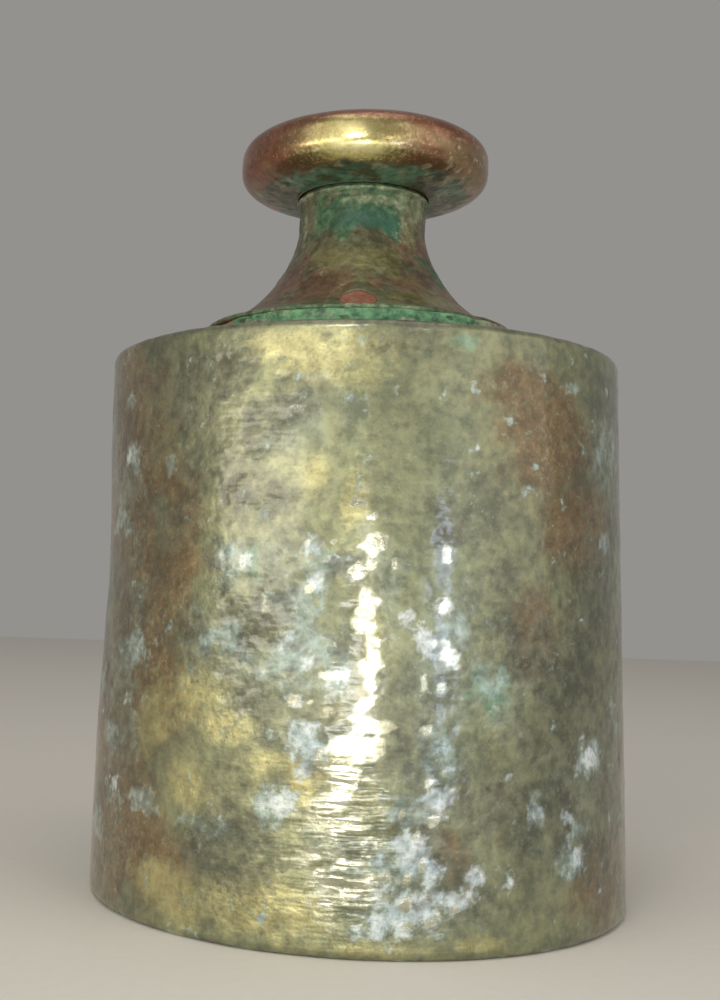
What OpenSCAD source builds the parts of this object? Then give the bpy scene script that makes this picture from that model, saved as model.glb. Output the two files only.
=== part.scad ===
// Cylindrical brass scale weight with a knob that unscrews over a cavity of lead shot

/* [Body] */
// Diameter of the cylinder
body_d = 52; // [46:0.5:60]
// Height of the cylinder
body_h = 52; // [46:0.5:60]
// Radius of the rounded top and bottom edges
body_edge_r = 0.8; // [0.4:0.1:2]

/* [Shot cavity] */
// Diameter of the bore that holds the shot and takes the knob's screw
cavity_d = 12.4; // [12.3:0.1:13.2]
// Depth of the cavity floor below the top of the body
cavity_depth = 38; // [38:0.5:40]
// Diameter of one lead pellet
pellet_d = 4; // [3:0.1:4]
// Number of pellet layers, seven pellets in each
pellet_layers = 6; // [3:1:6]
// Thickness of the packing wad on the shot
wad_t = 2; // [1:0.25:2.5]

/* [Screw] */
// Length of the screw below the top of the body
screw_l = 10; // [7:0.5:10]
// Rise of the thread in one turn
thread_pitch = 1.5; // [1.25:0.25:2]
// Depth of the thread
thread_depth = 0.8; // [0.5:0.1:0.9]
// Radial clearance of the thread in the body
thread_gap = 0.1; // [0.06:0.01:0.1]

/* [Collar] */
// Diameter of the copper washer
washer_d = 33; // [31:0.2:36]
// Thickness of the copper washer
washer_t = 3; // [2:0.1:3.5]

/* [Neck and foot] */
// Diameter of the flange at the foot
foot_d = 32.2; // [30:0.2:36]
// Height of the flange's thin edge
foot_t = 0.5; // [0.4:0.1:1.5]
// Diameter of the neck at its waist
neck_d = 13.4; // [12:0.1:15]
// Height of the flare from the flange up to the waist
flare_h = 11; // [8:0.2:12]
// Roundness of the flare: 1 is a straight cone and 2 is an ellipse
flare_power = 1.6; // [1.2:0.1:2]

/* [Head] */
// Widest diameter of the head
head_d = 26.5; // [22:0.5:30]
// Thickness of the head
head_t = 7.5; // [7:0.1:9]
// Height of the widest circle above the head's underside
head_widest = 3.4; // [2.5:0.1:4]
// Squareness of the head's edge: 2 is an ellipse and 4 is nearly flat
head_power = 3.2; // [2:0.1:3.6]
// Height from the top of the body to the top of the head
knob_h = 25.5; // [24.5:0.5:29]

/* [Stamp plug] */
// Diameter of the copper plug in the foot
plug_d = 3.8; // [3:0.2:5]
// Distance of the plug's centre from the edge of the foot
plug_inset = 2.9; // [2.8:0.1:3.5]

/* [Hidden] */
$fn = 96;

// Radial clearance of the wad, the plug and the tenon in their bores
fit_gap = 0.03;
// Gap between neighbouring pellets
shot_gap = 0.05;
// Radial clearance of the screw in the washer
washer_gap = 0.2;
screw_chamfer = 0.6;
// Plain length of the screw below its thread
screw_pilot = 0.4;
thread_facets = 30;
// Turns over which the thread runs out at each end
thread_fade = 0.5;
// Widths of the thread at its root and crest, as shares of the pitch
root_share = 0.84;
crest_share = 0.16;
// Depth to which the thread's root is sunk in the core
thread_sunk = 0.05;
// Small bevel that breaks the edges of the foot
foot_bevel = 0.15;
tenon_d = 7;
tenon_l = 5;
tenon_relief = 0.5;
// Shallow recess in the head that the top of the neck enters
recess_gap = 0.3;
recess_t = 0.4;
flare_steps = 14;
head_steps = 20;
pellet_fn = 24;
// Extra length that carries a cut clear of a face
cut = 1;

foot_z = body_h + washer_t;
flare_z = foot_z + foot_t;
waist_z = flare_z + flare_h;
head_under_z = body_h + knob_h - head_t;
head_wide_z = head_under_z + head_widest;
neck_top_z = head_under_z + recess_t;
tenon_top_z = neck_top_z + tenon_l;
bore_r = cavity_d / 2;
core_r = bore_r - thread_gap;
screw_end_z = body_h - screw_l;
thread_z = screw_end_z + screw_pilot + thread_pitch * root_share / 2;
cavity_floor_z = body_h - cavity_depth;
layer_h = pellet_d + shot_gap;
wad_z = cavity_floor_z + pellet_layers * layer_h;
plug_at = foot_d / 2 - plug_inset;

// Radius of the foot's flare at the share t of its height, from 0 at the flange to 1 at the waist
function flare_r(t) =
    let (edge = foot_d / 2 - foot_bevel)
    edge - (edge - neck_d / 2) * pow(1 - pow(1 - t, flare_power), 1 / flare_power);

// Point of the head's rounded section at an angle from -90 underneath to 90 on top
function head_point(a) =
    let (rise = a < 0 ? head_widest : head_t - head_widest)
    [
        head_d / 2 * pow(cos(a), 2 / head_power),
        head_wide_z + sign(a) * rise * pow(abs(sin(a)), 2 / head_power)
    ];

// Half section of a cylinder with rounded edges
module round_edged_section(r, h, e) {
    square([r - e, h]);
    translate([0, e]) square([r, h - 2 * e]);
    translate([r - e, e]) circle(r = e);
    translate([r - e, h - e]) circle(r = e);
}

// Share of its full depth that the thread has at a step, from nearly 0 at both ends to 1
function thread_share(step, steps) =
    min(1, 0.02 + min(step, steps - step) / thread_facets / thread_fade);

// Four corners of a right-hand thread's section at a step, on a core of radius r that starts at height z0
function thread_corners(r, z0, step, steps, gap) =
    let (
        share = thread_share(step, steps),
        a = 360 * step / thread_facets,
        z = z0 + thread_pitch * step / thread_facets,
        root = (thread_pitch * root_share + gap) / 2,
        crest = root - share * thread_pitch * (root_share - crest_share) / 2,
        inner = r - thread_sunk,
        outer = r + thread_depth * share
    )
    [for (p = [[inner, -root], [outer, -crest], [outer, crest], [inner, root]])
        [p[0] * cos(a), p[0] * sin(a), z + p[1]]];

// Helical ridge from height z0 to z1, spread by gap where it is the groove for another one
module thread(r, z0, z1, gap = 0) {
    steps = round((z1 - z0) / thread_pitch * thread_facets);
    points = [for (i = [0 : steps]) each thread_corners(r, z0, i, steps, gap)];
    sides = [for (i = [0 : steps - 1], k = [0 : 3])
        let (a = 4 * i + k, b = 4 * i + (k + 1) % 4)
        each [[a, b, b + 4], [a, b + 4, a + 4]]];
    last = 4 * steps;
    ends = [[0, 3, 2], [0, 2, 1], [last, last + 1, last + 2], [last, last + 2, last + 3]];
    polyhedron(points, concat(sides, ends));
}

// One bore holds the shot and is tapped at its mouth, one turn deeper than the screw reaches
module body() color([0.58, 0.52, 0.30]) difference() {
    rotate_extrude() round_edged_section(body_d / 2, body_h, body_edge_r);
    translate([0, 0, cavity_floor_z]) cylinder(r = bore_r, h = body_h);
    thread(bore_r, thread_z - thread_pitch, body_h + thread_pitch, thread_gap);
}

module pellet(r, z, a) rotate(a) translate([r, 0, z]) sphere(d = pellet_d, $fn = pellet_fn);

// Layers of one pellet in the middle and six round it, each layer turned half a step
module lead_shot() color([0.36, 0.37, 0.39]) for (layer = [0 : pellet_layers - 1]) {
    z = cavity_floor_z + pellet_d / 2 + layer * layer_h;
    pellet(0, z, 0);
    for (i = [0 : 5]) pellet(pellet_d + shot_gap, z, 60 * i + 30 * (layer % 2));
}

module wad() color([0.45, 0.33, 0.22])
    translate([0, 0, wad_z]) cylinder(d = cavity_d - 2 * fit_gap, h = wad_t);

module seat_washer() color([0.20, 0.52, 0.36]) translate([0, 0, body_h]) difference() {
    cylinder(d = washer_d, h = washer_t);
    translate([0, 0, -cut]) cylinder(r = core_r + thread_depth + washer_gap, h = washer_t + 2 * cut);
}

// Core of the screw, foot, flare, waist and tenon, turned from one bar
module turned_neck() {
    foot_r = foot_d / 2;
    screw = [
        [0, screw_end_z],
        [core_r - screw_chamfer, screw_end_z],
        [core_r, screw_end_z + screw_chamfer],
        [core_r, foot_z]
    ];
    foot = [
        [foot_r - foot_bevel, foot_z],
        [foot_r, foot_z + foot_bevel],
        [foot_r, flare_z - foot_bevel]
    ];
    flare = [for (i = [0 : flare_steps]) [flare_r(i / flare_steps), flare_z + flare_h * i / flare_steps]];
    tenon = [
        [neck_d / 2, neck_top_z],
        [tenon_d / 2, neck_top_z],
        [tenon_d / 2, tenon_top_z],
        [0, tenon_top_z]
    ];
    rotate_extrude() polygon(concat(screw, foot, flare, tenon));
}

module neck() color([0.40, 0.35, 0.24]) {
    difference() {
        turned_neck();
        translate([0, -plug_at, foot_z - cut]) cylinder(d = plug_d, h = flare_h);
    }
    thread(core_r, thread_z, body_h);
}

// The plug is filed down to the slope of the flare that it sits in
module stamp_plug() color([0.55, 0.25, 0.18]) intersection() {
    turned_neck();
    translate([0, -plug_at, foot_z - cut]) cylinder(d = plug_d - 2 * fit_gap, h = flare_h);
}

module head() color([0.62, 0.55, 0.32]) difference() {
    rotate_extrude() polygon([for (i = [0 : head_steps]) head_point(180 * i / head_steps - 90)]);
    translate([0, 0, head_under_z - cut]) cylinder(d = neck_d + 2 * recess_gap, h = recess_t + cut);
    translate([0, 0, head_under_z]) cylinder(d = tenon_d + 2 * fit_gap, h = recess_t + tenon_l + tenon_relief);
}

body();
lead_shot();
wad();
seat_washer();
neck();
stamp_plug();
head();
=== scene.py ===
import itertools
import math

import bpy
import numpy as np
from mathutils import Matrix, Vector


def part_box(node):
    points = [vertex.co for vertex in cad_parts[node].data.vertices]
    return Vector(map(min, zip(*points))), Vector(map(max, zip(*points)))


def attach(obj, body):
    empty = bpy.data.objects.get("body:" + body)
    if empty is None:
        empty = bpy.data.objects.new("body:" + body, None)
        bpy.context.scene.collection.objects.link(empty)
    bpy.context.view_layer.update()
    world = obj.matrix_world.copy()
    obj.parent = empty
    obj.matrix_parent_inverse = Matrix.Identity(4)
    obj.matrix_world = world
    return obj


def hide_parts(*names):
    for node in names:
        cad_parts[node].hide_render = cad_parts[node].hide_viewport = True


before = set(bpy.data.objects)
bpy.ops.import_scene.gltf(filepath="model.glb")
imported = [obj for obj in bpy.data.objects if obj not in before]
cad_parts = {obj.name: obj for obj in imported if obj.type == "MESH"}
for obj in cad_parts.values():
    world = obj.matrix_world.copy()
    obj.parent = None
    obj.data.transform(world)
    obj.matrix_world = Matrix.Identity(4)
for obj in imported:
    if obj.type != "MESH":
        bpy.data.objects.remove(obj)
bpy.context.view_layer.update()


# Camera
# It stands where the photograph was taken, close in front of the weight and low enough to look up under
# the head. The photograph is cut from a wider picture, so the lens is shifted off its centre.

photo_width = 720
photo_height = 1000
focal_px = 1287.6
optical_centre_px = (250, 380)
camera_place = Vector((0, -0.1340, 0.0284))
camera_yaw = -0.0878
camera_pitch = 0.1644
camera_roll = 0.0315

ahead = Vector((
    math.sin(camera_yaw) * math.cos(camera_pitch),
    math.cos(camera_yaw) * math.cos(camera_pitch),
    math.sin(camera_pitch),
))
level = ahead.cross(Vector((0, 0, 1))).normalized()
upright = level.cross(ahead)
right = math.cos(camera_roll) * level + math.sin(camera_roll) * upright
above = math.cos(camera_roll) * upright - math.sin(camera_roll) * level

camera = bpy.data.objects.new("camera", bpy.data.cameras.new("camera"))
camera.matrix_world = Matrix.Translation(camera_place) @ Matrix((right, above, -ahead)).transposed().to_4x4()
camera.data.sensor_fit = "VERTICAL"
camera.data.sensor_height = 24
camera.data.lens = focal_px / photo_height * camera.data.sensor_height
camera.data.shift_x = (photo_width / 2 - optical_centre_px[0]) / photo_height
camera.data.shift_y = (optical_centre_px[1] - photo_height / 2) / photo_height
camera.data.clip_start = 0.01
bpy.context.scene.collection.objects.link(camera)
bpy.context.scene.camera = camera
# Colours are shown as they are, with no film curve over them
bpy.context.scene.view_settings.view_transform = "Standard"


# Floor and light
# A plain pale floor and soft panels. Two small lamps low in front give the broken highlight down the middle
# of the barrel, a cool window on the right gives the second one, and two lamps above light the head.

def linear(code):
    """Linear RGBA of an sRGB hex colour: ((c + 0.055) / 1.055) ** 2.4 above 0.04045, c / 12.92 below."""
    c = np.array([int(code[i:i + 2], 16) for i in (1, 3, 5)]) / 255
    return (*np.where(c > 0.04045, ((c + 0.055) / 1.055) ** 2.4, c / 12.92).tolist(), 1.0)


def add_node(material, kind, settings={}, inputs={}):
    """A new node: settings are its own properties, inputs are values or sockets for its input sockets."""
    node = material.node_tree.nodes.new(kind)
    for name, value in settings.items():
        setattr(node, name, value)
    for key, value in inputs.items():
        if isinstance(value, bpy.types.NodeSocket):
            material.node_tree.links.new(value, node.inputs[key])
        else:
            node.inputs[key].default_value = value
    return node


def blank_material(name):
    """A material with an empty node tree, the mesh's own coordinates and a surface shader on the output."""
    material = bpy.data.materials.new(name)
    material.use_nodes = True
    material.node_tree.nodes.clear()
    shader = add_node(material, "ShaderNodeBsdfPrincipled")
    add_node(material, "ShaderNodeOutputMaterial", {}, {"Surface": shader.outputs["BSDF"]})
    place = add_node(material, "ShaderNodeTexCoord").outputs["Object"]
    return material, shader, place


floor_half = 0.6
floor_mesh = bpy.data.meshes.new("floor")
floor_mesh.from_pydata(
    [(x * floor_half, y * floor_half, 0) for x, y in ((-1, -1), (1, -1), (1, 1), (-1, 1))],
    [], [(0, 1, 2, 3)])
floor = bpy.data.objects.new("floor", floor_mesh)
bpy.context.scene.collection.objects.link(floor)

paper, paper_shader, paper_place = blank_material("matt_paper")
paper_grain = add_node(paper, "ShaderNodeTexNoise", {}, {"Vector": paper_place, "Scale": 900, "Detail": 3})
paper_tone = add_node(paper, "ShaderNodeMix", {"data_type": "RGBA"}, {
    0: paper_grain.outputs["Fac"], 6: linear("#e4e1da"), 7: linear("#ebe8e2")})
paper.node_tree.links.new(paper_tone.outputs[2], paper_shader.inputs["Base Color"])
paper_shader.inputs["Roughness"].default_value = 0.9
floor_mesh.materials.append(paper)


def panel_light(name, place, target, width, height, watts, colour):
    """An area light of width by height metres at place, facing target."""
    light = bpy.data.lights.new(name, "AREA")
    light.shape = "RECTANGLE"
    light.size = width
    light.size_y = height
    light.energy = watts
    light.color = linear(colour)[:3]
    lamp = bpy.data.objects.new(name, light)
    lamp.matrix_world = (Matrix.Translation(place)
                         @ (Vector(target) - Vector(place)).to_track_quat("-Z", "Y").to_matrix().to_4x4())
    lamp.visible_camera = False
    bpy.context.scene.collection.objects.link(lamp)


panel_light("low_lamp", (-0.002, -0.150, 0.009), (0, 0, 0.015), 0.038, 0.014, 0.022, "#fffdf8")
panel_light("mid_lamp", (0.008, -0.150, 0.032), (0, 0, 0.030), 0.010, 0.026, 0.005, "#fffaf2")
panel_light("high_lamp", (-0.016, -0.113, 0.094), (0, -0.013, 0.074), 0.028, 0.016, 0.021, "#fffaf2")
panel_light("high_window", (0.046, -0.105, 0.084), (0, -0.013, 0.074), 0.026, 0.014, 0.004, "#fff4e4")
panel_light("front_panel", (-0.30, -0.46, 0.26), (0, 0, 0.036), 0.50, 0.50, 0.60, "#fffaf0")
panel_light("right_panel", (0.46, -0.27, 0.20), (0, 0, 0.036), 0.50, 0.50, 0.62, "#fff8ec")
panel_light("low_panel", (-0.21, -0.25, 0.050), (0, 0, 0.012), 0.22, 0.062, 0.20, "#fff6e0")
panel_light("floor_bounce", (0, -0.13, 0.003), (0, -0.013, 0.070), 0.14, 0.05, 0.022, "#fff6e0")
panel_light("side_window", (0.094, -0.147, 0.024), (0, 0, 0.022), 0.018, 0.044, 0.020, "#d4e2ff")
panel_light("overhead", (0.02, -0.10, 0.45), (0, 0, 0.036), 0.30, 0.30, 0.30, "#fff8ee")

world = bpy.data.worlds.new("pale_room")
world.use_nodes = True
world.node_tree.nodes["Background"].inputs["Color"].default_value = linear("#d6d3ce")
world.node_tree.nodes["Background"].inputs["Strength"].default_value = 0.44
bpy.context.scene.world = world


# Barrel
# A brass cylinder turned from bar, bored from its top for the lead shot and tapped there for the knob.
# Handling, damp and lime have left it olive and khaki, yellow where it rubs, with pale crusts, dark stains,
# pits and a shallow hollow on its left side. All sizes from here on are in mm.

MM = 0.001
barrel_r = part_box("body")[1][0] / MM
barrel_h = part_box("body")[1][2] / MM
edge_r = 0.8
bore_r = 6.2
bore_floor_z = 14
# Radius of the bore's mouth, and the lowest height to which its rows stand close enough for the thread
mouth_r = 7.1
tapped_z = 41
thread_pitch = 1.5
thread_depth = 0.8
thread_gap = 0.1
# Half widths of the thread at its root and its crest, as shares of the pitch
thread_root = 0.42
thread_crest = 0.08
thread_z = 43.03
groove_turns = (-1, 6.98)
# Skin left under the turned size for the crusts to stand on
skin = 0.12
# Distance between the marks that the tool left on the two ends
facing_pitch = 0.9
# Radius of the row of points round the middle of an end, which turned_object closes
middle_r = 0.5
barrel_columns = 384


def straight(r0, z0, r1, z1, count):
    """Section points from (r0, z0) up to but without (r1, z1), evenly spaced."""
    t = np.arange(count) / count
    return np.stack([r0 + (r1 - r0) * t, z0 + (z1 - z0) * t], 1)


def corner(r, z, radius, start, end, count):
    """Section points on an arc of the given radius about (r, z), from the angle start to end in degrees."""
    a = np.radians(start + (end - start) * np.arange(count) / count)
    return np.stack([r + radius * np.cos(a), z + radius * np.sin(a)], 1)


def section_normals(section, closed=False):
    """Outward unit normals of a section: its tangent (dr, dz) turned to (dz, -dr)."""
    if closed:
        tangent = np.roll(section, -1, 0) - np.roll(section, 1, 0)
    else:
        tangent = np.gradient(section, axis=0)
    tangent /= np.linalg.norm(tangent, axis=1, keepdims=True)
    return np.stack([tangent[:, 1], -tangent[:, 0]], 1)


def turn_points(r, z, angle):
    """Points at radius r and height z, turned by angle from the front (-Y) towards the right (+X)."""
    return np.stack([r * np.sin(angle), -r * np.cos(angle), z + 0 * angle], -1)


def even_columns(count):
    """Angles of count columns, evenly spaced from the front."""
    return np.arange(count) / count * 2 * math.pi


def section_grid(section, columns, closed=False):
    """A section turned to every angle in columns, as grids of rows by columns: angle, row number, radius,
    height, outward normal within the section, and place."""
    angle, row = np.meshgrid(columns, np.arange(len(section)))
    r, z = section[row, 0], section[row, 1]
    return angle, row, r, z, section_normals(section, closed)[row], turn_points(r, z, angle)


def front_degrees(angle):
    """The angle from the front in degrees, from -180 to 180."""
    return (np.degrees(angle) + 180) % 360 - 180


def grain(points, cell, seed):
    """Smooth noise from -1 to 1: random values on a cubic lattice of cell mm, blended by 3t^2 - 2t^3."""
    size = 48
    lattice = np.random.default_rng(seed).uniform(-1, 1, (size, size, size))
    q = points / cell
    low = np.floor(q).astype(int)
    t = q - low
    t = t * t * (3 - 2 * t)
    total = np.zeros(points.shape[:-1])
    for step in itertools.product((0, 1), repeat=3):
        i, j, k = np.moveaxis((low + step) % size, -1, 0)
        total += np.prod(np.where(step, t, 1 - t), -1) * lattice[i, j, k]
    return total


def rough(points, cell, seed, octaves=3):
    """Sum of grain at cell, cell / 2, cell / 4 and so on, each half as strong as the one before."""
    return sum(grain(points, cell / 2 ** k, seed + k) / 2 ** k for k in range(octaves))


def soft_step(x, low, high):
    """0 below low, 1 above high, and 3t^2 - 2t^3 between them."""
    t = np.clip((x - low) / (high - low), 0, 1)
    return t * t * (3 - 2 * t)


def bell(x, middle, width):
    """1 at the middle and falling off on both sides: e^(-((x - middle) / width)^2)."""
    return np.exp(-((x - middle) / width) ** 2)


def cover(angle, height, spots, radius, ragged, low, high):
    """How much the nearest of the spots covers each point, from 0 to 1: a soft step from low to high of
    2^(-d^2) + ragged, with d the distance in half sizes. A spot is its angle in degrees, its height, its half
    width and its half height in mm."""
    nearest = np.full(angle.shape, 9.0)
    for degrees, z, half_width, half_height in spots:
        apart = (np.degrees(angle) - degrees + 180) % 360 - 180
        across = np.radians(apart) * radius / half_width
        nearest = np.minimum(nearest, np.hypot(across, (height - z) / half_height))
    return soft_step(2 ** -nearest ** 2 + ragged, low, high)


def scattered(seed, count, angles, heights, sizes):
    """Random spots for the side that the photograph doesn't show: count of them, within the ranges."""
    rng = np.random.default_rng(seed)
    half = rng.uniform(*sizes, count)
    return list(zip(rng.uniform(*angles, count), rng.uniform(*heights, count),
                    half * rng.uniform(0.8, 1.6, count), half * rng.uniform(0.6, 1.2, count)))


def turned_object(name, points, attributes, ring=False):
    """Object of a grid of points in mm, rows by columns, closed round the columns. A ring is closed along
    the rows too, and any other piece has each end row closed on its middle."""
    rows, columns = points.shape[:2]
    index = np.arange(rows * columns).reshape(rows, columns)
    below = index if ring else index[:-1]
    up = np.roll(index, -1, 0) if ring else index[1:]
    faces = np.stack([below, np.roll(below, -1, 1), np.roll(up, -1, 1), up], -1).reshape(-1, 4).tolist()
    corners = points.reshape(-1, 3)
    values = {key: value.reshape(-1) for key, value in attributes.items()}
    if not ring:
        first, last = rows * columns, rows * columns + 1
        faces += np.stack([np.roll(index[0], -1), index[0], np.full(columns, first)], 1).tolist()
        faces += np.stack([index[-1], np.roll(index[-1], -1), np.full(columns, last)], 1).tolist()
        corners = np.concatenate([corners, [points[0].mean(0), points[-1].mean(0)]])
        values = {key: np.concatenate([value, [value[0], value[-1]]]) for key, value in values.items()}
    mesh = bpy.data.meshes.new(name)
    mesh.from_pydata(corners * MM, [], faces)
    mesh.polygons.foreach_set("use_smooth", np.ones(len(faces), bool))
    for key, value in values.items():
        mesh.attributes.new(key, "FLOAT", "POINT").data.foreach_set("value", value.astype(np.float32))
    piece = bpy.data.objects.new(name, mesh)
    bpy.context.scene.collection.objects.link(piece)
    return piece


def thread_height(angle, z, turns, gap):
    """Height of the right-hand thread's ridge, from 0 to 1. It climbs one pitch a turn from thread_z on the
    +X axis, over the given range of turns, and runs out over half a turn at each end. Its flanks go from
    thread_root to thread_crest, spread by gap."""
    part_turn = angle / (2 * math.pi) - 0.25
    along = (z - thread_z) / thread_pitch - part_turn
    nearest = np.round(along)
    share = np.clip(np.minimum(nearest + part_turn - turns[0], turns[1] - nearest - part_turn) / 0.5, 0, 1)
    away = np.abs(along - nearest) * thread_pitch - gap / 2
    return share * np.clip((thread_root - away / thread_pitch) / (thread_root - thread_crest), 0, 1)


barrel_outside = [
    straight(middle_r, 0, barrel_r - edge_r, 0, 18),
    corner(barrel_r - edge_r, edge_r, edge_r, -90, 0, 6),
    straight(barrel_r, edge_r, barrel_r, barrel_h - edge_r, 146),
    corner(barrel_r - edge_r, barrel_h - edge_r, edge_r, 0, 90, 6),
    straight(barrel_r - edge_r, barrel_h, mouth_r, barrel_h, 18),
]
barrel_mouth = straight(mouth_r, barrel_h, bore_r, barrel_h, 2)
barrel_section = np.concatenate([
    *barrel_outside,
    barrel_mouth,
    straight(bore_r, barrel_h, bore_r, tapped_z, 46),
    straight(bore_r, tapped_z, bore_r, bore_floor_z, 8),
    straight(bore_r, bore_floor_z, middle_r, bore_floor_z, 5),
])
rows_outside = sum(map(len, barrel_outside))
angle, row, r, z, normal, smooth_place = section_grid(barrel_section, even_columns(barrel_columns))
degrees = front_degrees(angle)
outside = row < rows_outside
# The wall has its marks where the photograph shows them, and the two ends have random ones
near_wall = np.where(outside, soft_step(r, 22.5, 25.5), 0)
ends = np.where(outside, normal[..., 1] ** 2, 0)

# What the photograph shows on the barrel: angle from the front in degrees, height, half width, half height
lime_spots = [
    (-10, 23.5, 3.2, 3.0), (-6, 21.6, 2.2, 1.2), (-12, 27.5, 2.4, 2.0), (-7, 30.0, 1.6, 2.6),
    (-8.6, 16.4, 2.0, 1.7), (-5.5, 22.0, 1.8, 0.9), (-14, 11.8, 1.6, 1.8), (-27, 24.5, 2.8, 2.0),
    (-23, 31.5, 1.5, 2.0), (8, 4.0, 4.2, 2.4), (15, 3.6, 2.4, 1.2), (6, 8.0, 2.6, 2.4),
    # The lime spots at 15 and 17 degrees right of the front also serve as painted bluish glints
    (10, 11.5, 2.2, 1.6), (15, 15.5, 1.4, 2.0), (17, 25.0, 1.5, 2.6), (26, 21.5, 1.4, 1.4),
    (28, 6.0, 1.0, 1.3), (31, 14.0, 0.7, 0.6), (45, 7.0, 1.6, 1.2), (52, 15.0, 2.2, 1.4),
    (48, 9.5, 1.6, 0.9), (36, 11.0, 1.6, 1.6), (62, 43.0, 3.0, 2.4), (47, 47.5, 1.3, 0.5),
    (60, 34.0, 1.6, 1.1), (66, 18.0, 1.6, 2.0), (-41, 39.8, 1.2, 1.0), (-55, 40.5, 1.8, 1.3),
    (-62, 35.0, 2.4, 1.2), (-57, 46.0, 1.6, 0.7), (-53, 23.5, 2.8, 2.2), (-60, 15.5, 1.6, 1.4),
    (-51, 18.5, 1.5, 1.2), (-58, 10.5, 2.2, 1.4), (-46, 10.5, 2.2, 1.2), (-27, 9.0, 1.6, 0.8),
    (-33, 9.5, 1.8, 0.8), (-69, 7.0, 2.6, 1.6),
] + scattered(11, 34, (78, 290), (3, 50), (0.5, 2.4))
# The whitest places of the lime, which stand out as crystals. Those right of the front, beside the cool
# window's highlight, are also painted bluish-white glints.
frost_and_painted_glint_spots = [
    (-8.8, 16.6, 1.5, 1.4), (-5.5, 22.0, 1.3, 0.5), (-13, 12.0, 1.0, 1.0), (-10, 14.0, 0.8, 0.6),
    (-11, 19.6, 0.8, 0.6), (-9, 23.0, 0.7, 1.0), (-13, 25.0, 0.7, 0.8), (-9, 32.6, 0.8, 0.8),
    (-8, 29.5, 0.8, 0.9), (-22, 31.2, 0.8, 0.7), (17, 23.6, 1.0, 1.0), (16, 27.6, 0.7, 1.0),
    (12, 25.0, 0.8, 1.6), (9, 27.0, 0.8, 0.8), (15, 12.6, 1.4, 0.9), (10, 8.5, 1.8, 1.6),
    (13, 4.2, 3.2, 1.6), (8, 3.4, 2.4, 1.8), (4, 5.4, 1.6, 1.0), (18, 4.6, 1.4, 0.9), (22, 6.6, 1.0, 0.7),
    (29, 6.0, 0.7, 0.9), (47, 7.4, 1.0, 0.8), (51, 15.2, 1.2, 0.9), (44, 10.4, 1.0, 0.7),
    (36, 11.2, 0.9, 0.8), (30, 14.2, 0.5, 0.5), (-58, 40.6, 0.7, 0.7), (-54, 18.6, 0.7, 0.9),
    (-58, 11.0, 1.2, 0.8),
] + scattered(18, 26, (78, 290), (3, 50), (0.4, 1.4))
haze_spots = [
    (-14, 24.0, 6.5, 7.5), (-8, 17.5, 3.5, 2.5), (-20, 31.0, 3.0, 3.0), (8, 6.0, 6.5, 5.5),
    (16, 22.0, 2.6, 9.0), (-28, 24.0, 3.5, 4.0), (4, 30.0, 2.4, 4.0), (-2, 7.0, 3.6, 5.0),
    (-10, 43.0, 4.0, 2.6), (26, 21.0, 4.0, 4.0), (46, 12.0, 6.0, 5.0), (-56, 20.0, 4.0, 9.0),
    (62, 42.0, 4.0, 4.0), (-60, 38.0, 4.0, 4.0),
] + scattered(16, 16, (80, 288), (3, 49), (2.0, 6.0))
gold_spots = [
    (-4, 48.6, 6.6, 2.6), (-14, 49.5, 5.0, 1.6), (7, 49.5, 2.6, 1.2), (-8, 39.0, 1.9, 2.1),
    (-1, 36.0, 1.2, 2.6), (2, 27.0, 1.3, 3.8), (2, 21.5, 1.2, 2.4), (-16, 25.2, 1.5, 1.0),
    (-31, 20.5, 3.4, 3.0), (-24, 17.4, 3.0, 1.9), (-16, 14.6, 3.0, 1.6), (-10, 13.4, 1.8, 3.0),
    (-5, 18.8, 1.4, 1.0), (-23, 3.2, 7.0, 2.6), (-9, 3.5, 3.8, 3.0), (-36, 3.0, 4.0, 1.4),
    (3, 0.9, 8.0, 0.8), (22, 1.2, 2.6, 0.7), (-3, 14.0, 1.6, 3.4), (-34, 12.0, 3.0, 3.0),
    (-44, 17.0, 3.0, 3.6), (-40, 4.0, 4.0, 2.0),
] + scattered(12, 26, (80, 285), (2, 50), (0.8, 3.4))
stain_spots = [
    (-15, 44.0, 4.6, 2.2), (-24, 37.5, 2.0, 1.8), (-15, 37.0, 1.6, 1.5), (-19, 26.4, 4.8, 3.4),
    (-15, 16.4, 1.9, 0.9), (-15, 13.6, 1.6, 0.9), (-25, 7.6, 4.8, 3.6), (-29, 32.0, 1.2, 1.6),
    (-18, 19.6, 3.2, 1.4), (10, 9.8, 2.4, 1.6), (47, 22.0, 9.0, 9.0), (38, 12.0, 8.0, 6.0),
    (58, 12.0, 8.0, 7.0), (60, 30.0, 6.0, 6.0), (22, 11.0, 3.4, 3.8), (-30, 48.0, 4.0, 3.0),
    (66, 48.0, 4.4, 3.6), (-3, 31.0, 1.4, 1.2), (16, 35.0, 2.8, 2.4), (28, 30.5, 2.4, 2.0),
    (-35, 46.5, 4.4, 4.4),
] + scattered(13, 26, (78, 288), (2, 50), (1.2, 5.0))
# Brown spots left and right of the front are painted shade and a painted red-brown reflection that darken the
# sides; the random ones at the back are brown patina
painted_side_shade_and_brown_spots = [
    (-60, 40.0, 9.0, 13.0), (-50, 24.0, 7.0, 13.0), (-64, 12.0, 10.0, 12.0), (-44, 6.0, 5.0, 3.8),
    (42, 43.0, 5.6, 4.4), (50, 35.0, 5.6, 4.0), (36, 26.0, 2.6, 3.6), (60, 5.0, 6.0, 3.6),
    (32, 47.0, 3.6, 2.2), (18, 8.0, 1.6, 2.6), (-38, 33.0, 2.6, 8.0),
] + scattered(14, 16, (80, 280), (2, 50), (2.0, 7.0))
green_spots = [
    (-20.5, 31.6, 1.0, 1.2), (-19, 29.8, 0.6, 0.6), (26, 20.8, 1.8, 2.0), (20, 50.4, 1.4, 0.9),
] + scattered(15, 10, (80, 285), (3, 50), (0.5, 1.6))
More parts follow.
